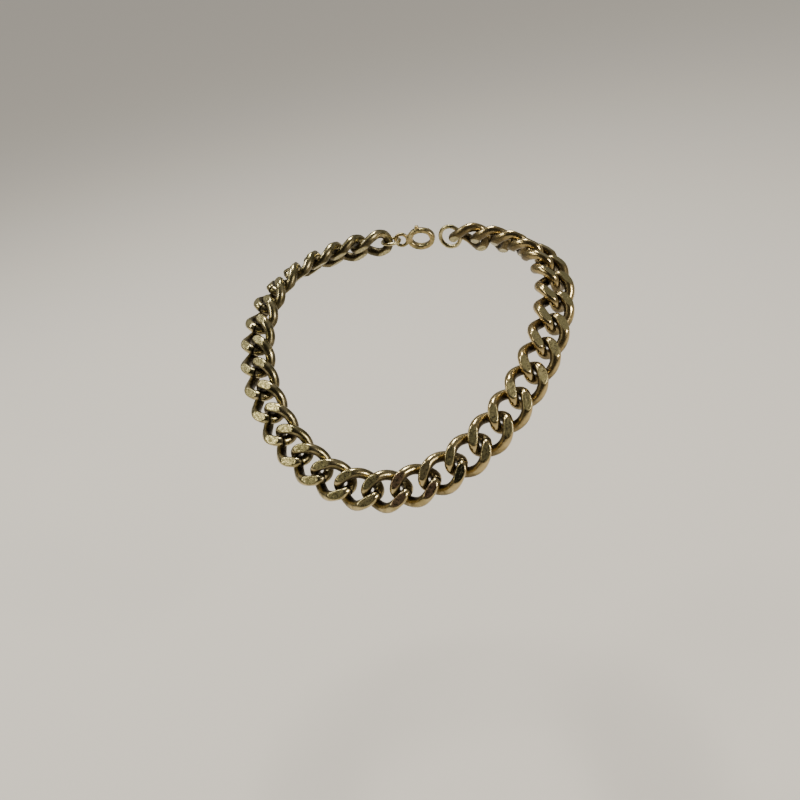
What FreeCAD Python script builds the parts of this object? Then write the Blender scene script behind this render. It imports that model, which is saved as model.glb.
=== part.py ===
import FreeCAD, Part
import math
import os
from FreeCAD import Placement, Rotation, Vector

# A heavy curb-chain necklace, lying as it is worn. The origin is on the neck's axis, level with the
# chain's centreline at the two sides. +Z is up, -Y is the wearer's front, and +X is the side that
# somebody facing the wearer sees on the right. Lengths are in mm and angles in degrees.

# ---- one curb link: an oval of round wire, each end bow twisted the other way out of flat ----
WIRE = 4.4             # wire diameter
INNER_LENGTH = 13.2    # inside length, along the chain
INNER_WIDTH = 9.0      # inside width, across the chain
TWIST = 50.0           # turn of each end bow out of the chain's flat
LINK_PLAY = 0.8        # slack between two links of a taut chain
FACET_DEPTH = 0.9      # metal filed off the wire where it stands proudest
SEAM_GAP = 0.2         # open butt joint where the wire's two ends meet
SEAM_TURN = -14.0      # where that joint lies, round the link from the middle of its +x bow
PATH_POINTS = 40       # points that the wire's centreline is drawn through

# ---- the chain ----
LINKS_PER_SIDE = 16    # links each side of the front one
ROCK = 1.5             # how far a link rocks off the ribbon's even lie
ROCK_STEP = 137.5      # phase of the rocking from one link to the next
FRONT_SHIFT = 4.0      # the front link lies this far along the loop from its lowest point

# ---- how the chain lies round the neck; its front reaches as far down as its length lets it ----
NECK_HALF_WIDTH = 67.7
BACK_DEPTH = 62.6      # neck's axis to the chain at the nape
CHEST_SLOPE = 29.0     # fall of the line from the neck's axis to the front link
FRONT_SHARPNESS = 2.4  # how much of the fall is near the front
NAPE_RISE = 19.4
SHOULDER_RISE = 6.8
TILT_FRONT = 39.0      # upward lean of the ribbon's face at the front, the sides and the nape
TILT_SIDE = 66.0
TILT_NAPE = 38.0

# ---- rings ----
RING_WIRE = 1.6        # small ring between the last link and the clasp
RING_RADIUS = 4.4      # to the middle of its wire
CATCH_WIRE = 2.0       # larger ring that the clasp hooks into
CATCH_RADIUS = 5.2
SEAT_GAP = 0.15        # clearance where a ring hangs on a link
EYE_GAP = 0.4          # clearance where the clasp's eye hangs on its ring
RING_LEAN = 6.0        # lean of the small ring, and then of the clasp, towards lying flat
CLASP_LEAN = 5.0
UNDONE_GAP = 2.0       # clasp's nose to the catch ring: the clasp is unhooked
CORNER_CUT = 0.15      # what the straight rings and clasp save on the loop's curve

# ---- lobster clasp: x from its eye to its nose, y across, z through its thickness ----
CLASP_LENGTH = 17.0    # eye's centre to the nose
CLASP_HALF_WIDTH = 5.6
CLASP_THICKNESS = 4.0
RIM = 2.5              # width of the hook's band
EYE_HOLE = 2.2         # radius
EYE_RIM = 1.7          # the eye is round in section
SHOULDER_THICKNESS = 2.4
BODY_ROUND = 0.9       # rounding of the cast body's edges
PIVOT_ANGLE = 215.0    # where the gate's pivot lies on the hook's band
RIVET_RADIUS = 0.6
RIVET_HEAD = 0.95      # radius of its spread heads
RIVET_HEAD_HEIGHT = 0.25
PIVOT_PLAY = 0.05      # gate's hole over the rivet
FIT_PLAY = 0.01        # rivet in the body
HUB_RADIUS = 1.5
HUB_THICKNESS = 1.1
GATE_THICKNESS = 3.0
GATE_GAP = 0.2         # running gap round the gate
GATE_TOP = -1.6        # the gate lies below this y
CHEEK_WIDTH = 1.6      # body's cheeks past the pivot
SLOT_WIDTH = 2.3
NUB_RADIUS = 1.1       # thumb nub on the gate
NUB_REACH = 1.3
SPRING_WIRE = 0.36
SPRING_RADIUS = 0.98
SPRING_TURNS = 1.6
SPRING_START = 120.0   # where the coil leaves its leg on the body
BODY_LEG = 0.9         # lengths of its legs
GATE_LEG = 0.7

# ---- sizes that follow ----
HALF_LENGTH = (INNER_LENGTH + WIRE) / 2
HALF_WIDTH = (INNER_WIDTH + WIRE) / 2
PITCH = INNER_LENGTH - LINK_PLAY
LINK_RING_SEAT = HALF_LENGTH - WIRE / 2 - RING_WIRE / 2 - SEAT_GAP
LINK_CATCH_SEAT = HALF_LENGTH - WIRE / 2 - CATCH_WIRE / 2 - SEAT_GAP
EYE_SEAT = EYE_HOLE - RING_WIRE / 2 - EYE_GAP
CATCH_OUT = LINK_CATCH_SEAT + 2 * CATCH_RADIUS + CATCH_WIRE / 2
CLASP_SPAN = (CATCH_OUT + UNDONE_GAP + CLASP_LENGTH + EYE_SEAT
              + 2 * RING_RADIUS + LINK_RING_SEAT - CORNER_CUT)
CHAIN_LENGTH = 2 * LINKS_PER_SIDE * PITCH + CLASP_SPAN

LOOP_STEPS = 1440      # steps that half of the loop is measured in
SPRING_POINTS = 25     # points that the spring's coil is drawn through


# ---- the loop that the chain follows ----

def loop_point(turn, reach):
    """A point of the loop, turn radians round from the front, with the front link reach away."""
    forward = math.cos(turn)
    depth = reach * math.cos(math.radians(CHEST_SLOPE)) if forward > 0 else BACK_DEPTH
    fall = reach * math.sin(math.radians(CHEST_SLOPE))
    rise = NAPE_RISE * (1 - forward) / 2 + SHOULDER_RISE * math.sin(turn) ** 2
    at_sides = NAPE_RISE / 2 + SHOULDER_RISE - fall * 0.5 ** FRONT_SHARPNESS
    drop = fall * ((1 + forward) / 2) ** FRONT_SHARPNESS
    return Vector(NECK_HALF_WIDTH * math.sin(turn), -depth * forward, rise - drop - at_sides)


def loop_table(reach):
    """Turns and the distances along the loop from the front to them, for half of the loop."""
    turns = [math.pi * i / LOOP_STEPS for i in range(LOOP_STEPS + 1)]
    points = [loop_point(turn, reach) for turn in turns]
    distances = [0.0]
    for here, there in zip(points, points[1:]):
        distances.append(distances[-1] + here.distanceToPoint(there))
    return turns, distances


def solved_reach():
    """The front's reach at which the loop is as long as the chain."""
    low, high = 10.0, 400.0
    for _ in range(60):
        middle = (low + high) / 2
        if 2 * loop_table(middle)[1][-1] < CHAIN_LENGTH:
            low = middle
        else:
            high = middle
    return (low + high) / 2


REACH = solved_reach()
TURNS, DISTANCES = loop_table(REACH)


def turn_at(distance):
    """How far round the loop a point lies, given its distance along it from the front."""
    side = math.copysign(1.0, distance)
    left = abs(distance)
    beyond = left > DISTANCES[-1]
    if beyond:
        left = 2 * DISTANCES[-1] - left
    low, high = 0, LOOP_STEPS
    while high - low > 1:
        middle = (low + high) // 2
        if DISTANCES[middle] <= left:
            low = middle
        else:
            high = middle
    share = (left - DISTANCES[low]) / (DISTANCES[high] - DISTANCES[low])
    turn = TURNS[low] + share * (TURNS[high] - TURNS[low])
    return side * (2 * math.pi - turn if beyond else turn)


def ribbon_frame(distance):
    """Place and directions of the chain's ribbon: along it, across it towards the neck, and out."""
    turn = turn_at(distance)
    step = 0.002
    along = loop_point(turn + step, REACH) - loop_point(turn - step, REACH)
    along.normalize()
    level_out = Vector(along.y, -along.x, 0)
    level_out.normalize()
    mean = (TILT_FRONT + TILT_NAPE) / 4 + TILT_SIDE / 2
    swing = (TILT_FRONT - TILT_NAPE) / 2
    bow = (TILT_FRONT + TILT_NAPE) / 4 - TILT_SIDE / 2
    tilt = math.radians(mean + swing * math.cos(turn) + bow * math.cos(2 * turn))
    out = level_out * math.cos(tilt) + Vector(0, 0, math.sin(tilt))
    out = out - along * out.dot(along)
    out.normalize()
    return loop_point(turn, REACH), along, out.cross(along), out


def placed(origin, along, across, out):
    return Placement(origin, Rotation(along, across, out, "XYZ"))


def link_distance(number):
    """How far round the loop from its lowest point link number's middle lies."""
    return FRONT_SHIFT + number * PITCH


def link_placement(number):
    """Where link number of the chain lies: 0 at the front, negative towards -X."""
    rock = Rotation(Vector(1, 0, 0), ROCK * math.sin(math.radians(ROCK_STEP) * number))
    return placed(*ribbon_frame(link_distance(number))).multiply(Placement(Vector(), rock))


# ---- simple blocks ----

def slab(x0, x1, y0, y1, thickness, z0=None):
    """A block; it lies about z = 0 unless its underside is given."""
    low = -thickness / 2 if z0 is None else z0
    return Part.makeBox(x1 - x0, y1 - y0, thickness, Vector(x0, y0, low))


def disc(radius, thickness, centre=Vector(), z0=None):
    """A cylinder along z; it lies about z = 0 unless its underside is given."""
    low = -thickness / 2 if z0 is None else z0
    return Part.makeCylinder(radius, thickness, Vector(centre.x, centre.y, low))


# ---- a curb link ----

def wire_centre(turn):
    """The middle of the link's wire, turn radians round from its +x bow."""
    lean = math.radians(TWIST) * math.cos(turn)
    across = HALF_WIDTH * math.sin(turn)
    return Vector(HALF_LENGTH * math.cos(turn), across * math.cos(lean), -across * math.sin(lean))


def bow_wire(end):
    """Direction of the wire at a link's end, +1 or -1 along x."""
    lean = math.radians(TWIST) * end
    return Vector(0, math.cos(lean), -math.sin(lean))


def swept(points, radius):
    """Round wire along a smooth curve through the points."""
    curve = Part.BSplineCurve()
    curve.interpolate(points)
    start = curve.value(curve.FirstParameter)
    heading = curve.tangent(curve.FirstParameter)[0]
    section = Part.Wire([Part.makeCircle(radius, start, heading)])
    return Part.Wire([curve.toShape()]).makePipeShell([section], True, False)


def curb_link():
    half_seam = SEAM_GAP / (2 * HALF_WIDTH)
    first = math.radians(SEAM_TURN) + half_seam
    last = math.radians(SEAM_TURN) - half_seam + 2 * math.pi
    turns = [first + (last - first) * i / (PATH_POINTS - 1) for i in range(PATH_POINTS)]
    wire = swept([wire_centre(turn) for turn in turns], WIRE / 2)
    proudest = max(wire_centre(math.radians(turn)).z for turn in range(360)) + WIRE / 2
    flat = proudest - FACET_DEPTH
    between_facets = slab(-2 * HALF_LENGTH, 2 * HALF_LENGTH, -2 * HALF_LENGTH, 2 * HALF_LENGTH, 2 * flat)
    return wire.common(between_facets)


# ---- rings ----

def ring(radius, wire):
    """A closed ring of round wire whose axis is z."""
    return Part.makeTorus(radius, wire / 2)


def ring_placement(middle, along, axis):
    """A ring's place from its middle, a direction in its plane, and its rough axis."""
    flat_axis = axis - along * axis.dot(along)
    flat_axis.normalize()
    return placed(middle, along, flat_axis.cross(along), flat_axis)


# ---- the lobster clasp, in its own frame ----

HOOK_LONG = (CLASP_LENGTH - EYE_HOLE - EYE_RIM / 2) / 2
HOOK_MIDDLE = CLASP_LENGTH - HOOK_LONG
OPENING_LONG = HOOK_LONG - RIM
OPENING_HALF_WIDTH = CLASP_HALF_WIDTH - RIM
PIVOT = Vector(HOOK_MIDDLE + (HOOK_LONG - RIM / 2) * math.cos(math.radians(PIVOT_ANGLE)),
               (CLASP_HALF_WIDTH - RIM / 2) * math.sin(math.radians(PIVOT_ANGLE)), 0)
GATE_EDGE = HOOK_MIDDLE + OPENING_LONG * math.sqrt(1 - (GATE_TOP / OPENING_HALF_WIDTH) ** 2)
GATE_REACH = math.hypot(GATE_EDGE - PIVOT.x, GATE_TOP - PIVOT.y)
HUB_FLOOR = (GATE_GAP - SLOT_WIDTH) / 2
NUB_X = HOOK_MIDDLE - OPENING_LONG / 3


def oval(half_long, half_wide, thickness):
    """An upright oval block about the hook's middle."""
    if half_long > half_wide:
        edge = Part.Ellipse(Vector(HOOK_MIDDLE, 0, -thickness / 2), half_long, half_wide).toShape()
    else:
        edge = Part.Ellipse(Vector(HOOK_MIDDLE, half_wide, -thickness / 2),
                            Vector(HOOK_MIDDLE + half_long, 0, -thickness / 2),
                            Vector(HOOK_MIDDLE, 0, -thickness / 2)).toShape()
    return Part.Face(Part.Wire([edge])).extrude(Vector(0, 0, thickness))


def rounded_band(half_long, half_wide, thickness, rounding):
    """The hook's closed oval band, with its long edges rounded."""
    band = oval(half_long, half_wide, thickness).cut(
        oval(OPENING_LONG, OPENING_HALF_WIDTH, 2 * thickness))
    return band.makeFillet(rounding, [edge for edge in band.Edges if len(edge.Vertexes) == 1])


def clasp_body():
    band = rounded_band(HOOK_LONG, CLASP_HALF_WIDTH, CLASP_THICKNESS, BODY_ROUND)
    eye = Part.makeTorus(EYE_HOLE + EYE_RIM / 2, EYE_RIM / 2)
    shoulder = slab(EYE_HOLE + EYE_RIM / 2, HOOK_MIDDLE - OPENING_LONG - GATE_GAP, -EYE_HOLE, EYE_HOLE,
                    SHOULDER_THICKNESS)
    body = band.fuse([eye, shoulder])
    swing_room = disc(GATE_REACH + GATE_GAP, CLASP_THICKNESS + 2, PIVOT)
    below = slab(PIVOT.x + CHEEK_WIDTH, 2 * CLASP_LENGTH, -2 * CLASP_HALF_WIDTH, GATE_TOP + GATE_GAP,
                 CLASP_THICKNESS + 2)
    slot = slab(PIVOT.x - HUB_RADIUS - GATE_GAP, HOOK_MIDDLE, -2 * CLASP_HALF_WIDTH,
                PIVOT.y + HUB_RADIUS + GATE_GAP, SLOT_WIDTH)
    rivet_hole = disc(RIVET_RADIUS + FIT_PLAY, CLASP_THICKNESS + 2, PIVOT)
    return body.cut(swing_room.common(below)).cut(slot).cut(rivet_hole)


def clasp_gate():
    band = rounded_band(HOOK_LONG, CLASP_HALF_WIDTH, GATE_THICKNESS, BODY_ROUND)
    below = slab(PIVOT.x + CHEEK_WIDTH + GATE_GAP, 2 * CLASP_LENGTH, -2 * CLASP_HALF_WIDTH, GATE_TOP,
                 GATE_THICKNESS)
    arm = band.common(below).common(disc(GATE_REACH, GATE_THICKNESS, PIVOT))
    arm = arm.cut(disc(CHEEK_WIDTH + 2 * GATE_GAP, GATE_THICKNESS, PIVOT))
    hub = disc(HUB_RADIUS, HUB_THICKNESS, PIVOT, HUB_FLOOR)
    web = band.common(slab(PIVOT.x, PIVOT.x + 2 * CHEEK_WIDTH, -2 * CLASP_HALF_WIDTH,
                           PIVOT.y + HUB_RADIUS / 2, HUB_THICKNESS, HUB_FLOOR))
    nub = Part.makeCylinder(NUB_RADIUS, NUB_REACH + RIM / 2,
                            Vector(NUB_X, -CLASP_HALF_WIDTH + RIM / 2, 0), Vector(0, -1, 0))
    nub = nub.makeFillet(NUB_RADIUS / 2, [nub.Edges[0]])
    hole = disc(RIVET_RADIUS + PIVOT_PLAY, CLASP_THICKNESS, PIVOT)
    return arm.fuse([hub, web, nub]).removeSplitter().cut(hole)


def clasp_rivet():
    face = CLASP_THICKNESS / 2 + FIT_PLAY
    heads = [disc(RIVET_HEAD, RIVET_HEAD_HEIGHT, PIVOT, face),
             disc(RIVET_HEAD, RIVET_HEAD_HEIGHT, PIVOT, -face - RIVET_HEAD_HEIGHT)]
    pin = disc(RIVET_RADIUS, 2 * face, PIVOT)
    return pin.fuse(heads).removeSplitter()


def clasp_spring():
    """A wire coil round the rivet beside the gate's hub, one leg on the body and one on the gate."""
    low = HUB_FLOOR + HUB_THICKNESS + SPRING_WIRE
    high = SLOT_WIDTH / 2 - SPRING_WIRE / 2 - GATE_GAP / 4
    start = math.radians(SPRING_START)
    finish = start + 2 * math.pi * SPRING_TURNS
    points = []
    for i in range(SPRING_POINTS):
        share = i / (SPRING_POINTS - 1)
        turn = start + (finish - start) * share
        points.append(PIVOT + Vector(SPRING_RADIUS * math.cos(turn), SPRING_RADIUS * math.sin(turn),
                                     low + (high - low) * share))
    back = Vector(math.cos(start - math.pi / 2), math.sin(start - math.pi / 2), 0)
    on = Vector(math.cos(finish + math.pi / 2), math.sin(finish + math.pi / 2), 0)
    return swept([points[0] + back * BODY_LEG] + points + [points[-1] + on * GATE_LEG], SPRING_WIRE / 2)


# ---- the clasp's place at the nape ----

def clasp_placements():
    """Places of the catch ring, the clasp and the small ring, on from the last +X link."""
    last_right = link_placement(LINKS_PER_SIDE)
    last_left = link_placement(-LINKS_PER_SIDE)
    catch_seat = last_right.multVec(Vector(LINK_CATCH_SEAT, 0, 0))
    catch_far = ribbon_frame(link_distance(LINKS_PER_SIDE) + LINK_CATCH_SEAT + 2 * CATCH_RADIUS)[0]
    catch_along = catch_far - catch_seat
    catch_along.normalize()
    catch_axis = last_right.Rotation.multVec(bow_wire(1))
    catch = ring_placement(catch_seat + catch_along * CATCH_RADIUS, catch_along, catch_axis)

    nose_at = link_distance(LINKS_PER_SIDE) + CATCH_OUT + UNDONE_GAP
    nose = ribbon_frame(nose_at)[0]
    eye = ribbon_frame(nose_at + CLASP_LENGTH)[0]
    ring_seat = last_left.multVec(Vector(-LINK_RING_SEAT, 0, 0))
    toward_nose = nose - eye
    toward_nose.normalize()
    eye_seat = eye - toward_nose * EYE_SEAT
    ring_along = eye_seat - ring_seat
    ring_along.normalize()
    ring_axis = last_left.Rotation.multVec(bow_wire(-1))
    ring_axis = Rotation(ring_along, RING_LEAN).multVec(ring_axis)
    small_ring = ring_placement((ring_seat + eye_seat) / 2, ring_along, ring_axis)
    ring_wire = small_ring.Rotation.multVec(Vector(0, 1, 0))
    clasp_out = Rotation(toward_nose, CLASP_LEAN).multVec(ring_wire)
    clasp = ring_placement(eye, toward_nose, clasp_out)
    return catch, clasp, small_ring


def export(shape, placement, name):
    part = shape.copy()
    part.Placement = placement.multiply(part.Placement)
    part.exportStep("parts/" + name + ".step")
    return part


def link_name(number):
    if number == 0:
        return "link_front"
    return "link_" + ("right" if number > 0 else "left") + "_%02d" % abs(number)


def main():
    os.makedirs("parts", exist_ok=True)
    link = curb_link()
    print("link", link.isValid(), len(link.Solids), round(link.Volume, 2))
    for number in range(-LINKS_PER_SIDE, LINKS_PER_SIDE + 1):
        export(link, link_placement(number), link_name(number))
    catch, clasp, small_ring = clasp_placements()
    pieces = {
        "catch_ring": (ring(CATCH_RADIUS, CATCH_WIRE), catch),
        "jump_ring": (ring(RING_RADIUS, RING_WIRE), small_ring),
        "clasp_body": (clasp_body(), clasp),
        "clasp_gate": (clasp_gate(), clasp),
        "clasp_rivet": (clasp_rivet(), clasp),
        "clasp_spring": (clasp_spring(), clasp),
    }
    for name, (shape, placement) in pieces.items():
        made = export(shape, placement, name)
        print(name, made.isValid(), len(made.Solids), round(made.Volume, 2))
    print("pitch", round(PITCH, 2), "chain", round(CHAIN_LENGTH, 1), "front reach", round(REACH, 1))


main()
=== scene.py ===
# %% [markdown]
# # A heavy curb-chain necklace
# The necklace is made of curb links: ovals of round wire with both ends twisted the same way, so that
# they lie flat together like a ribbon. It closes at the nape with a lobster clasp.
# The design's frame is loaded first. Every piece below is made in the same frame, in metres: +Z is up
# the wearer's neck, -Y is the wearer's front and the origin is on the neck's axis.

# %% Load the designed necklace and note its size
import bpy
import math
import numpy as np
from mathutils import Matrix, Vector


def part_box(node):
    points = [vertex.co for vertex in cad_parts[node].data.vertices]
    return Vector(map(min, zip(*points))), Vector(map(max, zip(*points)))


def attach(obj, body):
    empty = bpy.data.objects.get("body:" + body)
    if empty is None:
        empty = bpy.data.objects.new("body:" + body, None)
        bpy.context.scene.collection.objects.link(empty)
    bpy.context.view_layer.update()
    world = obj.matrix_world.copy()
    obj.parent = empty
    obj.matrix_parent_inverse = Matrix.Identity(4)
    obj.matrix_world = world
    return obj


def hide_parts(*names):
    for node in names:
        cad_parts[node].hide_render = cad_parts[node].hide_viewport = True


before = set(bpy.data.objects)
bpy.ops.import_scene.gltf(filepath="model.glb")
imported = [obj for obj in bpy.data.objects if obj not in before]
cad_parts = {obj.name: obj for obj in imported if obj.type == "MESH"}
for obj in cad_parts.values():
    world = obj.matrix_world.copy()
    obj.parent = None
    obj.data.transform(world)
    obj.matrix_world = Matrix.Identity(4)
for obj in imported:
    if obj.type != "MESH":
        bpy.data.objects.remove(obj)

# A new Blender file starts with a cube, a light and a camera, which have no place here.
for starter in [bpy.data.objects.get(name) for name in ("Cube", "Light", "Camera")]:
    if starter:
        bpy.data.objects.remove(starter)
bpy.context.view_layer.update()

# %% [markdown]
# ## Small helpers
# Node trees are built with one helper that adds a node, sets its settings and links its inputs.
# Colours are written as sRGB hex, as they'd be read off a swatch, and turned linear in one place.

# %% Node, colour and length helpers
MM = 0.001


def linear(hex_colour):
    """An sRGB hex colour as linear red, green, blue and alpha."""
    channels = [int(hex_colour[i:i + 2], 16) / 255 for i in (1, 3, 5)]
    bent = [c / 12.92 if c <= 0.04045 else ((c + 0.055) / 1.055) ** 2.4 for c in channels]
    return (*bent, 1.0)


def add(tree, kind, settings=None, **inputs):
    """Adds a node. An input given as a socket is linked, and anything else is set as its value.
    A name such as _0 gives an input by its number, for nodes whose inputs share a name."""
    node = tree.nodes.new(kind)
    for name, value in (settings or {}).items():
        setattr(node, name, value)
    for name, value in inputs.items():
        key = int(name[1:]) if name[0] == "_" else name.replace("_", " ")
        socket = node.inputs[key]
        if isinstance(value, bpy.types.NodeSocket):
            tree.links.new(value, socket)
        else:
            socket.default_value = value
    return node


def maths(tree, operation, *values):
    """Up to three numbers or sockets through a Math node."""
    inputs = {f"_{i}": value for i, value in enumerate(values)}
    return add(tree, "ShaderNodeMath", {"operation": operation}, **inputs).outputs[0]


print("helpers ready; 1 mm is", MM, "m")

# %% [markdown]
# ## Sizes of the chain
# The wire is 4.4 mm thick, which makes this a heavy chain. Each link is bent from one piece of wire, and
# both of its end bows are turned 50 degrees out of flat. The twist is what lets two links nest
# without standing on edge. The tops are then filed flat, which gives the chain its bright facets.

# %% Sizes of a link, in mm and degrees
WIRE = 4.4
HALF_LENGTH = 8.8        # to the middle of the wire, along the chain
HALF_WIDTH = 6.7         # and across it
TWIST = 50.0
PITCH = 12.4             # from one link to the next
FACET_DEPTH = 0.9        # filed off the proudest wire
SEAM_GAP = 0.3           # between the wire's two ends
SEAM_TURN = -12.0        # from the link's end towards its lower bow
LINKS_PER_SIDE = 16
numbers = range(-LINKS_PER_SIDE, LINKS_PER_SIDE + 1)


def link_name(number):
    """The node of link number, which counts from the front one towards +X."""
    if number == 0:
        return "link_front"
    return "link_" + ("right" if number > 0 else "left") + "_%02d" % abs(number)


print("links", len(numbers), "from", link_name(numbers[0]), "to", link_name(numbers[-1]))

# %% [markdown]
# ## Where the chain lies
# A chain lying round a neck follows one smooth loop. It is widest at the sides, rises to the nape and
# falls to the front, most steeply just before the front. The ribbon of links also leans back against
# the neck, most at the sides. The loop is described by its width, depth, rises and leans, and each
# link is set at its own distance along it.

# %% The loop that the chain follows, in mm
NECK_HALF_WIDTH = 67.7
FRONT_REACH = 80.918
BACK_DEPTH = 62.6
CHEST_SLOPE = 29.0
FRONT_SHARPNESS = 2.4
NAPE_RISE = 19.4
SHOULDER_RISE = 6.8
FALL = FRONT_REACH * math.sin(math.radians(CHEST_SLOPE))
AT_SIDES = NAPE_RISE / 2 + SHOULDER_RISE - FALL * 0.5 ** FRONT_SHARPNESS


def loop_point(turn):
    """A point of the loop, turn radians round from the front."""
    forward = math.cos(turn)
    depth = FRONT_REACH * math.cos(math.radians(CHEST_SLOPE)) if forward > 0 else BACK_DEPTH
    rise = NAPE_RISE * (1 - forward) / 2 + SHOULDER_RISE * math.sin(turn) ** 2
    drop = FALL * ((1 + forward) / 2) ** FRONT_SHARPNESS
    return Vector((NECK_HALF_WIDTH * math.sin(turn), -depth * forward, rise - drop - AT_SIDES))


print("front", [round(v, 1) for v in loop_point(0)], "nape", [round(v, 1) for v in loop_point(math.pi)])

# %% Distances along the loop
LOOP_STEPS = 1440
turns = [math.pi * i / LOOP_STEPS for i in range(LOOP_STEPS + 1)]
distances = [0.0]
for here, there in zip(turns, turns[1:]):
    distances.append(distances[-1] + (loop_point(there) - loop_point(here)).length)


def turn_at(distance):
    """How far round the loop a point lies, given its distance from the lowest point."""
    left = abs(distance)
    i = next(i for i, far in enumerate(distances) if far >= left) or 1
    share = (left - distances[i - 1]) / (distances[i] - distances[i - 1])
    return math.copysign(turns[i - 1] + share * (turns[i] - turns[i - 1]), distance)


print("the loop is", round(2 * distances[-1], 1), "mm round")

# %% Each link's own place
TILT_FRONT, TILT_SIDE, TILT_NAPE = 39.0, 66.0, 38.0
FRONT_SHIFT = 4.0        # the front link lies a little to one side of the lowest point
ROCK = 1.5
ROCK_STEP = 137.5


def link_place(number):
    """A link's place as a matrix in metres: x along the chain, y towards the neck, z outwards."""
    turn = turn_at(FRONT_SHIFT + number * PITCH)
    step = 0.002
    along = (loop_point(turn + step) - loop_point(turn - step)).normalized()
    level = Vector((along.y, -along.x, 0)).normalized()
    mean = (TILT_FRONT + TILT_NAPE) / 4 + TILT_SIDE / 2
    bow = (TILT_FRONT + TILT_NAPE) / 4 - TILT_SIDE / 2
    swing = (TILT_FRONT - TILT_NAPE) / 2
    tilt = math.radians(mean + swing * math.cos(turn) + bow * math.cos(2 * turn))
    out = level * math.cos(tilt) + Vector((0, 0, math.sin(tilt)))
    out = (out - along * out.dot(along)).normalized()
    turned = Matrix((along, out.cross(along), out)).transposed().to_4x4()
    rock = math.radians(ROCK * math.sin(math.radians(ROCK_STEP) * number))
    place = Matrix.Translation(loop_point(turn) * MM) @ turned
    return place @ Matrix.Rotation(rock, 4, "X")


places = {number: link_place(number) for number in numbers}
print("front link at", [round(v / MM, 1) for v in places[0].translation], "mm")

# %% [markdown]
# ## One curb link
# A link starts as a bar of round wire. It is wound into an oval on a mandrel, cut off, joined to its
# neighbours, twisted while it hangs in the chain and closed with a butt joint. After tumbling, the
# whole chain is drawn past a grinding wheel, which files the proud parts of the wire to flat facets.
# The generator below follows the same order: a line is bent to the twisted oval, a round section is
# swept along it, and the filing is a soft limit on how far the metal may stand out.
# It also records some facts on every point that the finish uses: whether metal was filed away there,
# how far it faces into the link's own loop, where shade is painted, or lies at the butt joint, where
# tarnish gathers, how high it lies, and its place on the link.

# %% Generator of a curb link
def group_with(name, floats):
    """A new geometry group with a Geometry input and output and the named number inputs."""
    group = bpy.data.node_groups.new(name, "GeometryNodeTree")
    group.interface.new_socket("Geometry", in_out="OUTPUT", socket_type="NodeSocketGeometry")
    group.interface.new_socket("Geometry", in_out="INPUT", socket_type="NodeSocketGeometry")
    for label, value in floats.items():
        socket = group.interface.new_socket(label, in_out="INPUT", socket_type="NodeSocketFloat")
        socket.default_value = value
    group.interface.new_socket("Material", in_out="INPUT", socket_type="NodeSocketMaterial")
    return group, group.nodes.new("NodeGroupInput"), group.nodes.new("NodeGroupOutput")


link_group, given, result = group_with("curb link", {
    "Half length": HALF_LENGTH * MM, "Half width": HALF_WIDTH * MM, "Wire radius": WIRE / 2 * MM,
    "Twist": math.radians(TWIST), "Seam start": 0.0, "Seam end": 2 * math.pi,
    "Flat": 0.0, "Edge": 0.2 * MM, "Hammering": 0.08 * MM, "Waviness": 0.1 * MM, "Tone": 0.5,
    "Copper above": 0.0, "Copper below": 0.0, "Dark below": 0.0, "Number": 0.0,
    "Steps along": 150, "Steps round": 40})
inlet = {socket.name: socket for socket in given.outputs}
print("inputs", [name for name in inlet if name != "__extend__"])

# %% The wire's centreline, bent and twisted
steps = maths(link_group, "SUBTRACT", inlet["Steps along"], 1)
line = add(link_group, "GeometryNodeCurvePrimitiveLine", _0=(0, 0, 0), _1=(1, 0, 0))
bar = add(link_group, "GeometryNodeResampleCurve", Curve=line.outputs[0], Count=inlet["Steps along"])
index = add(link_group, "GeometryNodeInputIndex").outputs[0]
share = maths(link_group, "DIVIDE", index, steps)
sweep = maths(link_group, "SUBTRACT", inlet["Seam end"], inlet["Seam start"])
turn = maths(link_group, "ADD", inlet["Seam start"], maths(link_group, "MULTIPLY", sweep, share))
cosine = maths(link_group, "COSINE", turn)
lean = maths(link_group, "MULTIPLY", inlet["Twist"], cosine)
side = maths(link_group, "MULTIPLY", inlet["Half width"], maths(link_group, "SINE", turn))
drop = maths(link_group, "MULTIPLY", side, maths(link_group, "SINE", lean))
centre = add(
    link_group, "ShaderNodeCombineXYZ", X=maths(link_group, "MULTIPLY", inlet["Half length"], cosine),
    Y=maths(link_group, "MULTIPLY", side, maths(link_group, "COSINE", lean)),
    Z=maths(link_group, "MULTIPLY", drop, -1)).outputs[0]
bent = add(link_group, "GeometryNodeSetPosition", Geometry=bar.outputs[0], Position=centre)
middle = add(link_group, "GeometryNodeStoreNamedAttribute",
             {"data_type": "FLOAT_VECTOR", "domain": "POINT"},
             Geometry=bent.outputs[0], Name="wire_middle", Value=centre)
along = add(link_group, "GeometryNodeStoreNamedAttribute", {"data_type": "FLOAT", "domain": "POINT"},
            Geometry=middle.outputs[0], Name="share", Value=share)
section = add(link_group, "GeometryNodeCurvePrimitiveCircle", Resolution=inlet["Steps round"],
              Radius=inlet["Wire radius"])
wire = add(link_group, "GeometryNodeCurveToMesh", Curve=along.outputs[0],
           Profile_Curve=section.outputs[0], Fill_Caps=True)
print("nodes so far", len(link_group.nodes))

# %% Filing and hammering of the facets
def attribute(tree, name, kind="FLOAT"):
    """A stored attribute, read back by name."""
    node = add(tree, "GeometryNodeInputNamedAttribute", {"data_type": kind}, Name=name)
    return node.outputs["Attribute"]


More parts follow.
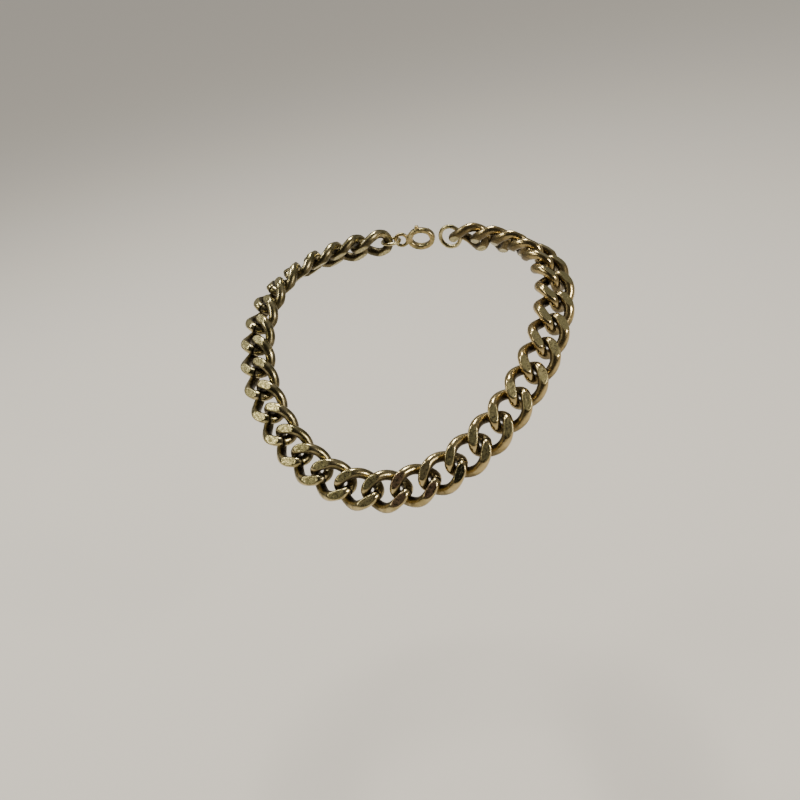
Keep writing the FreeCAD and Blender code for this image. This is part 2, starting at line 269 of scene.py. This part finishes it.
position = add(link_group, "GeometryNodeInputPosition").outputs[0]
own_place = add(link_group, "ShaderNodeVectorMath", {"operation": "ADD"}, _0=position,
                _1=add(link_group, "ShaderNodeCombineXYZ", X=inlet["Number"]).outputs[0]).outputs[0]
dents = add(link_group, "ShaderNodeTexNoise", {"noise_dimensions": "3D"}, Vector=own_place,
            Scale=1 / (2.6 * MM), Detail=2.0, Roughness=0.5)
blows = add(link_group, "ShaderNodeTexVoronoi", {"feature": "SMOOTH_F1"}, Vector=own_place,
            Scale=1 / (0.9 * MM), Smoothness=0.6)
parts = add(link_group, "ShaderNodeSeparateXYZ", Vector=position)
height = maths(link_group, "ABSOLUTE", parts.outputs["Z"])
swell = maths(link_group, "SUBTRACT", dents.outputs[0], 0.5)
wave = maths(link_group, "MULTIPLY", swell, inlet["Waviness"])
blow = maths(link_group, "MULTIPLY", blows.outputs["Distance"], inlet["Hammering"])
floor = maths(link_group, "ADD", inlet["Flat"], wave)
limit = maths(link_group, "SUBTRACT", floor, blow)
filed = maths(link_group, "SUBTRACT", height, floor)
soft = maths(link_group, "SMOOTH_MIN", height, limit, inlet["Edge"])
signed = maths(link_group, "MULTIPLY", soft, maths(link_group, "SIGN", parts.outputs["Z"]))
lowered = add(link_group, "ShaderNodeCombineXYZ", X=parts.outputs["X"], Y=parts.outputs["Y"], Z=signed)
facet = add(link_group, "ShaderNodeMapRange", {"interpolation_type": "SMOOTHSTEP"}, Value=filed,
            From_Min=-0.06 * MM, From_Max=0.12 * MM)
print("nodes so far", len(link_group.nodes))

# %% What the finish needs to know, and the group's end
from_middle = add(link_group, "ShaderNodeVectorMath", {"operation": "SUBTRACT"}, _0=position,
                  _1=attribute(link_group, "wire_middle", "FLOAT_VECTOR"))
outward = add(link_group, "ShaderNodeVectorMath", {"operation": "NORMALIZE"}, _0=from_middle.outputs[0])
homeward = add(link_group, "ShaderNodeVectorMath", {"operation": "NORMALIZE"}, _0=add(
    link_group, "ShaderNodeVectorMath", {"operation": "SCALE"},
    _0=attribute(link_group, "wire_middle", "FLOAT_VECTOR"), Scale=-1.0).outputs[0])
facing = add(link_group, "ShaderNodeVectorMath", {"operation": "DOT_PRODUCT"}, _0=outward.outputs[0],
             _1=homeward.outputs[0]).outputs["Value"]
# Painted shade: faces turned into the link's own loop are marked for a darker colour, standing in for the
# shade there.
inner_face_shade = add(link_group, "ShaderNodeMapRange", {"interpolation_type": "SMOOTHSTEP"}, Value=facing,
            From_Min=-0.2, From_Max=0.9)
# Tarnish gathers at the butt joint, over the last 1.6 per cent of the wire at each end.
from_end = maths(link_group, "MINIMUM", attribute(link_group, "share"),
                 maths(link_group, "SUBTRACT", 1.0, attribute(link_group, "share")))
near_seam = add(link_group, "ShaderNodeMapRange", {"interpolation_type": "SMOOTHSTEP"}, Value=from_end,
                From_Min=0.016, From_Max=0.003)
# Painted shade on the inner faces, together with the real tarnish at the butt joint.
inside_shade_and_seam = maths(link_group, "MAXIMUM", inner_face_shade.outputs[0], near_seam.outputs[0])
kept = wire.outputs[0]
above = maths(link_group, "GREATER_THAN", parts.outputs["Y"], 0.0)
copper = add(link_group, "ShaderNodeMix", _0=above, _2=inlet["Copper below"],
             _3=inlet["Copper above"]).outputs[0]
dark = maths(link_group, "MULTIPLY", maths(link_group, "SUBTRACT", 1.0, above), inlet["Dark below"])
level = maths(link_group, "DIVIDE", parts.outputs["Z"], inlet["Flat"])
facts = {"facet": ("FLOAT", facet.outputs[0]), "inside_shade_and_seam": ("FLOAT", inside_shade_and_seam),
         "level": ("FLOAT", level), "tone": ("FLOAT", inlet["Tone"]),
         "copper": ("FLOAT", copper), "dark": ("FLOAT", dark),
         "on_link": ("FLOAT_VECTOR", own_place)}
for name, (kind, value) in facts.items():
    kept = add(link_group, "GeometryNodeStoreNamedAttribute", {"data_type": kind, "domain": "POINT"},
               Geometry=kept, Name=name, Value=value).outputs[0]
shaped = add(link_group, "GeometryNodeSetPosition", Geometry=kept, Position=lowered.outputs[0])
smooth = add(link_group, "GeometryNodeSetShadeSmooth", Geometry=shaped.outputs[0])
whole = add(link_group, "GeometryNodeRealizeInstances", Geometry=smooth.outputs[0])
finished = add(link_group, "GeometryNodeSetMaterial", Geometry=whole.outputs[0],
               Material=inlet["Material"])
link_group.links.new(finished.outputs[0], result.inputs[0])
print("the link generator has", len(link_group.nodes), "nodes")

# %% [markdown]
# ## Aged brass
# The wire is yellow brass. Handling keeps the top of each link polished, and an olive film lies between
# that and a brown-black painted shade on the inner faces and the back and lower flanks of the wire,
# which stands in for the shade inside each loop and the dark surroundings the metal would reflect.
# The filed facets are paler and duller, because their scratches scatter light. A few facets near the
# front have a coppery stain, where the surface has lost zinc.
# The facts stored by the generator decide where each of these shows. Patterns are sized in real
# mm: tumbling marks of about 0.35 mm, hammer marks of 0.9 mm, nicks 0.16 mm wide and blotches of a
# few mm. Real file scratches are some 0.02 mm wide. They are drawn 0.07 mm wide, which is as coarse
# as they need to be to dull a facet.

# %% Brass colours
BRASS_BRIGHT = linear("#C5B78C")
BRASS_WARM = linear("#B9A474")
BRASS_OLIVE = linear("#827B55")
BRASS_FILED = linear("#C0B383")
# A dark brown, used for real tarnish blotches and for the painted shade on the links.
TARNISH_AND_SHADE_DARK = linear("#2A2217")
STAIN_COPPER = linear("#8E6A5A")
STAIN_DARK = linear("#262A21")
STEEL = linear("#A9ABAD")


def mixed(tree, factor, first, second):
    """Two colours mixed by a number from 0 to 1."""
    node = add(tree, "ShaderNodeMix", {"data_type": "RGBA"}, _0=factor, _6=first, _7=second)
    return node.outputs[2]


def ranged(tree, value, low, high, to_low=0.0, to_high=1.0):
    """A number eased from one range to another."""
    node = add(tree, "ShaderNodeMapRange", {"interpolation_type": "SMOOTHSTEP"}, Value=value,
               From_Min=low, From_Max=high, To_Min=to_low, To_Max=to_high)
    return node.outputs[0]


def noise(tree, place, size_mm, detail=3.0, roughness=0.5):
    """Noise from 0 to 1 whose blotches are about size_mm across."""
    node = add(tree, "ShaderNodeTexNoise", Vector=place, Scale=1 / (size_mm * MM), Detail=detail,
               Roughness=roughness)
    return node.outputs[0]


def stored(tree, name):
    """A number stored on the mesh."""
    return add(tree, "ShaderNodeAttribute", {"attribute_name": name}).outputs["Fac"]


def bumped(tree, layers):
    """A surface normal raised by (height, distance in mm) layers, one on another."""
    normal = None
    for height, distance in layers:
        inputs = {"Height": height, "Distance": distance * MM, "Strength": 1.0}
        if normal:
            inputs["Normal"] = normal
        normal = add(tree, "ShaderNodeBump", **inputs).outputs[0]
    return normal


def new_material(name):
    """An empty material and its tree, ready for a metal surface."""
    material = bpy.data.materials.new(name)
    material.use_nodes = True
    tree = material.node_tree
    tree.nodes.clear()
    return material, tree


def finish_metal(tree, colour, roughness, normal):
    """Ends a material's tree with a metal surface."""
    surface = add(tree, "ShaderNodeBsdfPrincipled", Base_Color=colour, Metallic=1.0,
                  Roughness=roughness, Normal=normal)
    add(tree, "ShaderNodeOutputMaterial", Surface=surface.outputs[0])


print("bright brass is", [round(c, 3) for c in BRASS_BRIGHT[:3]], "in linear light")

# %% Brass wire of the links: its round skin, tumbled, tarnished, rubbed by handling and given painted shade
link_brass, tree = new_material("aged brass wire, tumbled and filed")
place = add(tree, "ShaderNodeAttribute", {"attribute_name": "on_link"}).outputs["Vector"]
facet, inside_shade_and_seam, tone = stored(tree, "facet"), stored(tree, "inside_shade_and_seam"), stored(tree, "tone")
blotches = noise(tree, place, 3.2, 4.0, 0.55)
specks = noise(tree, place, 0.5, 3.0, 0.6)
fine = noise(tree, place, 0.35, 4.0, 0.6)
body = mixed(tree, tone, BRASS_OLIVE, BRASS_WARM)
worn = ranged(tree, blotches, 0.38, 0.62)
body = mixed(tree, worn, body, mixed(tree, tone, BRASS_BRIGHT, BRASS_WARM))
# Painted shade: the wire darkens towards its back and lower flanks, standing in for the dark surroundings
# it would reflect.
uneven = maths(tree, "ADD", stored(tree, "level"), ranged(tree, blotches, 0.2, 0.8, -0.25, 0.25))
back_shade = ranged(tree, uneven, 0.55, -0.55, 0.0, 0.85)
# Painted shade inside the loops and on the back of the wire, with the real tarnish at the joint, speckled
# and mixed in as dark brown.
shade_and_seam_tarnish = maths(tree, "MAXIMUM", inside_shade_and_seam, back_shade)
speckled_shade_and_tarnish = maths(tree, "MULTIPLY", shade_and_seam_tarnish, ranged(tree, specks, 0.25, 0.6, 0.65, 1.0))
body = mixed(tree, speckled_shade_and_tarnish, body, TARNISH_AND_SHADE_DARK)
smooth_wire = ranged(tree, fine, 0.3, 0.7, 0.14, 0.26)
roughness = maths(tree, "ADD", smooth_wire, maths(tree, "MULTIPLY", speckled_shade_and_tarnish, 0.25))
print("nodes for the skin:", len(tree.nodes))

# %% The filed facets: scratched, dented and stained
stretched = add(tree, "ShaderNodeMapping", Vector=place, Scale=(0.08, 1.0, 1.0)).outputs[0]
scratches = noise(tree, stretched, 0.07, 2.0, 0.5)
mottle = noise(tree, place, 0.9, 5.0, 0.65)
face = mixed(tree, ranged(tree, mottle, 0.36, 0.6), BRASS_FILED, BRASS_OLIVE)
patchy = ranged(tree, mottle, 0.3, 0.5, 0.35, 1.0)
face = mixed(tree, maths(tree, "MULTIPLY", stored(tree, "copper"), patchy), face, STAIN_COPPER)
face = mixed(tree, maths(tree, "MULTIPLY", stored(tree, "dark"), patchy), face, STAIN_DARK)
crossed = add(tree, "ShaderNodeMapping", Vector=place, Rotation=(0, 0, math.radians(55)),
              Scale=(0.1, 1.0, 1.0)).outputs[0]
nicks = ranged(tree, noise(tree, crossed, 0.16, 2.0, 0.5), 0.6, 0.68)
face = mixed(tree, nicks, face, BRASS_BRIGHT)
dull = ranged(tree, mottle, 0.35, 0.65, 0.22, 0.5)
print("nodes with the facets:", len(tree.nodes))

# %% Skin and facets together
colour = mixed(tree, facet, body, face)
filed_share = add(tree, "ShaderNodeMix", _0=facet, _2=roughness, _3=dull).outputs[0]
scored = maths(tree, "MULTIPLY", scratches, facet)
beaten = maths(tree, "MULTIPLY", mottle, facet)
normal = bumped(tree, [(blotches, 0.12), (fine, 0.008), (beaten, 0.07), (scored, 0.01)])
finish_metal(tree, colour, filed_share, normal)
print("nodes in the link brass:", len(tree.nodes))

# %% Brass of the rings and the clasp, and the spring's steel
def plain_brass(name, first, second, grain_mm, dull, edge_mm=0.25):
    """Aged brass without facets: blotched tarnish over metal with a fine grain, rubbed at its edges."""
    material, tree = new_material(name)
    place = add(tree, "ShaderNodeTexCoord").outputs["Object"]
    blotches = noise(tree, place, 2.4, 4.0, 0.6)
    grain = noise(tree, place, grain_mm, 4.0, 0.6)
    colour = mixed(tree, ranged(tree, blotches, 0.35, 0.62), first, second)
    colour = mixed(tree, ranged(tree, blotches, 0.44, 0.3, 0.0, 0.75), colour, TARNISH_AND_SHADE_DARK)
    # An edge is where the surface and the same surface rounded off face different ways.
    rounded = add(tree, "ShaderNodeBevel", Radius=edge_mm * MM).outputs[0]
    true = add(tree, "ShaderNodeNewGeometry").outputs["Normal"]
    agreed = add(tree, "ShaderNodeVectorMath", {"operation": "DOT_PRODUCT"}, _0=rounded, _1=true)
    colour = mixed(tree, ranged(tree, agreed.outputs["Value"], 0.995, 0.95), colour, BRASS_BRIGHT)
    roughness = ranged(tree, grain, 0.3, 0.7, dull, dull + 0.14)
    finish_metal(tree, colour, roughness, bumped(tree, [(blotches, 0.03), (grain, 0.008)]))
    return material


# Drawn brass wire keeps a finer, brighter skin than the cast body of the clasp.
ring_brass = plain_brass("aged brass wire, drawn", BRASS_OLIVE, BRASS_BRIGHT, 0.3, 0.2)
clasp_brass = plain_brass("aged brass, cast and tumbled", BRASS_OLIVE, BRASS_WARM, 0.45, 0.26)
rivet_brass = plain_brass("brass pin, spread cold", BRASS_BRIGHT, BRASS_FILED, 0.25, 0.3)
# The spring is hard drawn steel wire.
spring_steel, tree = new_material("spring steel wire, hard drawn")
place = add(tree, "ShaderNodeTexCoord").outputs["Object"]
drawn = noise(tree, place, 0.12, 3.0, 0.6)
steel_colour = mixed(tree, ranged(tree, drawn, 0.3, 0.7), STEEL, linear("#7C7E80"))
finish_metal(tree, steel_colour, ranged(tree, drawn, 0.3, 0.7, 0.25, 0.4), bumped(tree, [(drawn, 0.004)]))
print("materials", [m.name for m in bpy.data.materials])

# %% [markdown]
# ## The 33 links
# All links are the same part, but no two have aged alike. Each gets its own number, which moves the
# patterns along so that none repeats, and its own tone: the links of one side have kept a green-grey
# film and the other side has been polished warmer. Stains lie on the facets just beside the front link.

# %% Make the links
def set_inputs(modifier, **values):
    """Sets a geometry modifier's inputs, found by their names."""
    for item in modifier.node_group.interface.items_tree:
        key = item.name.replace(" ", "_")
        if item.item_type == "SOCKET" and item.in_out == "INPUT" and key in values:
            modifier[item.identifier] = values[key]


def made(group, name, place, **values):
    """Runs a generator once and keeps what it makes as a plain mesh, set at its place."""
    carrier = bpy.data.objects.new("carrier", bpy.data.meshes.new("carrier"))
    bpy.context.scene.collection.objects.link(carrier)
    modifier = carrier.modifiers.new("generator", "NODES")
    modifier.node_group = group
    set_inputs(modifier, **values)
    graph = bpy.context.evaluated_depsgraph_get()
    mesh = bpy.data.meshes.new_from_object(carrier.evaluated_get(graph), depsgraph=graph)
    mesh.transform(place)
    bpy.data.objects.remove(carrier)
    piece = bpy.data.objects.new(name, mesh)
    bpy.context.scene.collection.objects.link(piece)
    return piece


def wire_height(turn):
    """How far the wire's middle stands above the link's flat."""
    return -HALF_WIDTH * math.sin(turn) * math.sin(math.radians(TWIST) * math.cos(turn))


proudest = max(wire_height(math.radians(degree)) for degree in range(360)) + WIRE / 2
half_seam = SEAM_GAP / (2 * HALF_WIDTH)


def seam_turns(number):
    """Where a link's wire starts and ends: each link is closed by hand, so its seam lies a bit apart."""
    middle = math.radians(SEAM_TURN + 2 * math.sin(ROCK_STEP * number))
    return middle + half_seam, middle - half_seam + 2 * math.pi


PATTERN_STEP = 30.0      # how far the patterns move from one link to the next
# How much of a facet above or below the link's middle is stained, by the link's number.
COPPER_ABOVE = {1: 0.75, 2: 0.2}
COPPER_BELOW = {0: 0.7, 1: 0.8, -1: 0.15}
DARK_BELOW = {2: 0.95, 1: 0.25}
for number in numbers:
    node = link_name(number)
    tone = 0.5 + 0.45 * math.tanh(number / 4)
    seam_start, seam_end = seam_turns(number)
    link = made(link_group, node + "_aged", places[number], Flat=(proudest - FACET_DEPTH) * MM,
                Seam_start=seam_start, Seam_end=seam_end,
                Tone=tone, Number=PATTERN_STEP * MM * (number + LINKS_PER_SIDE),
                Copper_above=COPPER_ABOVE.get(number, 0.0), Copper_below=COPPER_BELOW.get(number, 0.0),
                Dark_below=DARK_BELOW.get(number, 0.0), Material=link_brass)
    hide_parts(node)
    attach(link, node)
print("a link has", len(link.data.polygons), "faces")

# %% [markdown]
# ## Rings and clasp
# The two rings at the nape are round wire bent to a circle and pinched shut, so each shows a fine
# butt joint. The generator makes them too, as untwisted and unfiled links of equal length and width.
# The clasp's body and gate are castings, tumbled together with the chain: their flats keep a film of
# tarnish, and their edges are rubbed bright. The rivet is spread cold at both ends, and the gate's
# spring is steel.

# %% Make the rings
def ring_place(node):
    """A ring's middle and axis as a matrix, measured on its designed shape."""
    points = np.array([vertex.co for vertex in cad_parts[node].data.vertices])
    middle = (points.min(axis=0) + points.max(axis=0)) / 2
    axis = Vector(np.linalg.svd(points - points.mean(axis=0), full_matrices=False)[2][2])
    return Matrix.Translation(middle) @ axis.to_track_quat("Z", "Y").to_matrix().to_4x4()


# Radius to the middle of the wire, its thickness, degrees round to the joint and a pattern number.
RINGS = {"catch_ring": (5.2, 2.0, 60, 10), "jump_ring": (4.4, 1.6, 110, 9)}
JOINT_GAP = 0.08
for node, (radius, wire, joint_turn, pattern) in RINGS.items():
    half_joint = JOINT_GAP / (2 * radius)
    joint = math.radians(joint_turn)
    ring = made(link_group, node + "_aged", ring_place(node), Half_length=radius * MM,
                Half_width=radius * MM, Wire_radius=wire / 2 * MM, Twist=0.0, Flat=wire * MM,
                Seam_start=joint + half_joint, Seam_end=joint - half_joint + 2 * math.pi,
                Number=PATTERN_STEP * MM * pattern, Material=ring_brass)
    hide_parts(node)
    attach(ring, node)
    print(node, "has", len(ring.data.polygons), "faces")

# %% Finish the clasp
finishes = {"clasp_body": clasp_brass, "clasp_gate": clasp_brass, "clasp_rivet": rivet_brass,
            "clasp_spring": spring_steel}
for node, material in finishes.items():
    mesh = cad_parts[node].data
    mesh.materials.clear()
    mesh.materials.append(material)
print("finished", sorted(finishes))

# %% [markdown]
# ## Studio
# The necklace is shown as it would lie on a wearer, high enough over a plain pale floor for the chain
# to hang down from its front link. A soft light above and behind gives each link a narrow highlight,
# and three weaker ones fill the sides.
# Polished metal shows whatever is round it, so the room is darker to the front, which gives the links
# their dark flanks. The floor and the air behind it have no use for that and see an even pale sky.

# %% Floor
FLOOR_HALF, FLOOR_DROP = 40.0, 0.14
low = min(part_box(node)[0][2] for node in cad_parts) - FLOOR_DROP
corners = [(x * FLOOR_HALF, y * FLOOR_HALF, low) for x, y in ((-1, -1), (1, -1), (1, 1), (-1, 1))]
paper = bpy.data.meshes.new("floor")
paper.from_pydata(corners, [], [(0, 1, 2, 3)])
ground = bpy.data.objects.new("floor", paper)
bpy.context.scene.collection.objects.link(ground)
FLOOR_PAINT = linear("#BCB7AF")
floor_paint, tree = new_material("floor, matt pale paint")
paint = add(tree, "ShaderNodeBsdfPrincipled", Base_Color=FLOOR_PAINT, Roughness=0.85)
add(tree, "ShaderNodeOutputMaterial", Surface=paint.outputs[0])
ground.data.materials.append(floor_paint)
print("floor at", round(low / MM, 1), "mm")


# %% Lights
def soft_light(name, place, aim, size, power, hex_colour):
    """A square area light that points at a spot."""
    lamp = bpy.data.lights.new(name, "AREA")
    lamp.size, lamp.energy, lamp.color = size, power, linear(hex_colour)[:3]
    light = bpy.data.objects.new(name, lamp)
    light.location = place
    light.rotation_mode = "QUATERNION"
    light.rotation_quaternion = (Vector(aim) - Vector(place)).to_track_quat("-Z", "Y")
    bpy.context.scene.collection.objects.link(light)


soft_light("light_above", (-0.15, 0.45, 0.9), (0, 0, 0), 0.25, 9.0, "#FFFDF6")
soft_light("light_left", (-0.78, 0.12, 0.8), (0, 0, 0), 0.22, 5.0, "#FBFAF4")
soft_light("light_front_left", (-0.82, -0.42, 0.56), (0, 0, 0), 0.3, 2.8, "#F8F4E0")
soft_light("light_right", (0.85, -0.35, 0.45), (0, 0, 0), 0.22, 7.5, "#FFF8EC")
print("lights", len(bpy.data.lights))

# %% Surroundings
PALE_SKY, PALE_STRENGTH = linear("#F4F1EA"), 1.0
world = bpy.data.worlds.new("room")
world.use_nodes = True
tree = world.node_tree
tree.nodes.clear()
where = add(tree, "ShaderNodeTexCoord").outputs["Generated"]
front = add(tree, "ShaderNodeVectorMath", {"operation": "DOT_PRODUCT"}, _0=where, _1=(0, -1, 0))
shade = add(tree, "ShaderNodeMapRange", Value=front.outputs["Value"], From_Min=-0.2, From_Max=0.6)
sky = add(tree, "ShaderNodeMix", {"data_type": "RGBA"}, _0=shade.outputs[0], _6=linear("#B9B7B2"),
          _7=linear("#4A4845"))
room = add(tree, "ShaderNodeBackground", Color=sky.outputs[2], Strength=0.45)
even = add(tree, "ShaderNodeBackground", Color=PALE_SKY, Strength=PALE_STRENGTH)
distance = add(tree, "ShaderNodeBackground", Color=FLOOR_PAINT, Strength=PALE_STRENGTH * PALE_SKY[1])
rays = add(tree, "ShaderNodeLightPath")
on_floor = add(tree, "ShaderNodeMixShader", _0=rays.outputs["Is Diffuse Ray"], _1=room.outputs[0],
               _2=even.outputs[0])
seen = add(tree, "ShaderNodeMixShader", _0=rays.outputs["Is Camera Ray"], _1=on_floor.outputs[0],
           _2=distance.outputs[0])
add(tree, "ShaderNodeOutputWorld", Surface=seen.outputs[0])
bpy.context.scene.world = world
print("world nodes", len(tree.nodes))

# %% [markdown]
# ## Camera
# The camera stands a little to one side and above, as somebody facing the wearer would look down at
# the collar. A 40 mm lens at this distance keeps the chain's own perspective.

# %% Camera
CAMERA_PLACE = Vector((116.4, -352.0, 161.0)) * MM
AZIMUTH, ELEVATION, ROLL = math.radians(19.54), math.radians(29.08), math.radians(-10.3)
back = Vector((math.sin(AZIMUTH) * math.cos(ELEVATION), -math.cos(AZIMUTH) * math.cos(ELEVATION),
               math.sin(ELEVATION)))
level = Vector((math.cos(AZIMUTH), math.sin(AZIMUTH), 0))
upward = back.cross(level)
right = level * math.cos(ROLL) + upward * math.sin(ROLL)
camera = bpy.data.objects.new("camera", bpy.data.cameras.new("camera"))
camera.matrix_world = Matrix.Translation(CAMERA_PLACE) @ Matrix(
    (right, back.cross(right), back)).transposed().to_4x4()
camera.data.lens = 40.5
camera.data.sensor_width = 36
camera.data.clip_start = 0.01
bpy.context.scene.collection.objects.link(camera)
bpy.context.scene.camera = camera
print("camera", [round(v / MM) for v in CAMERA_PLACE], "mm from the neck's middle")
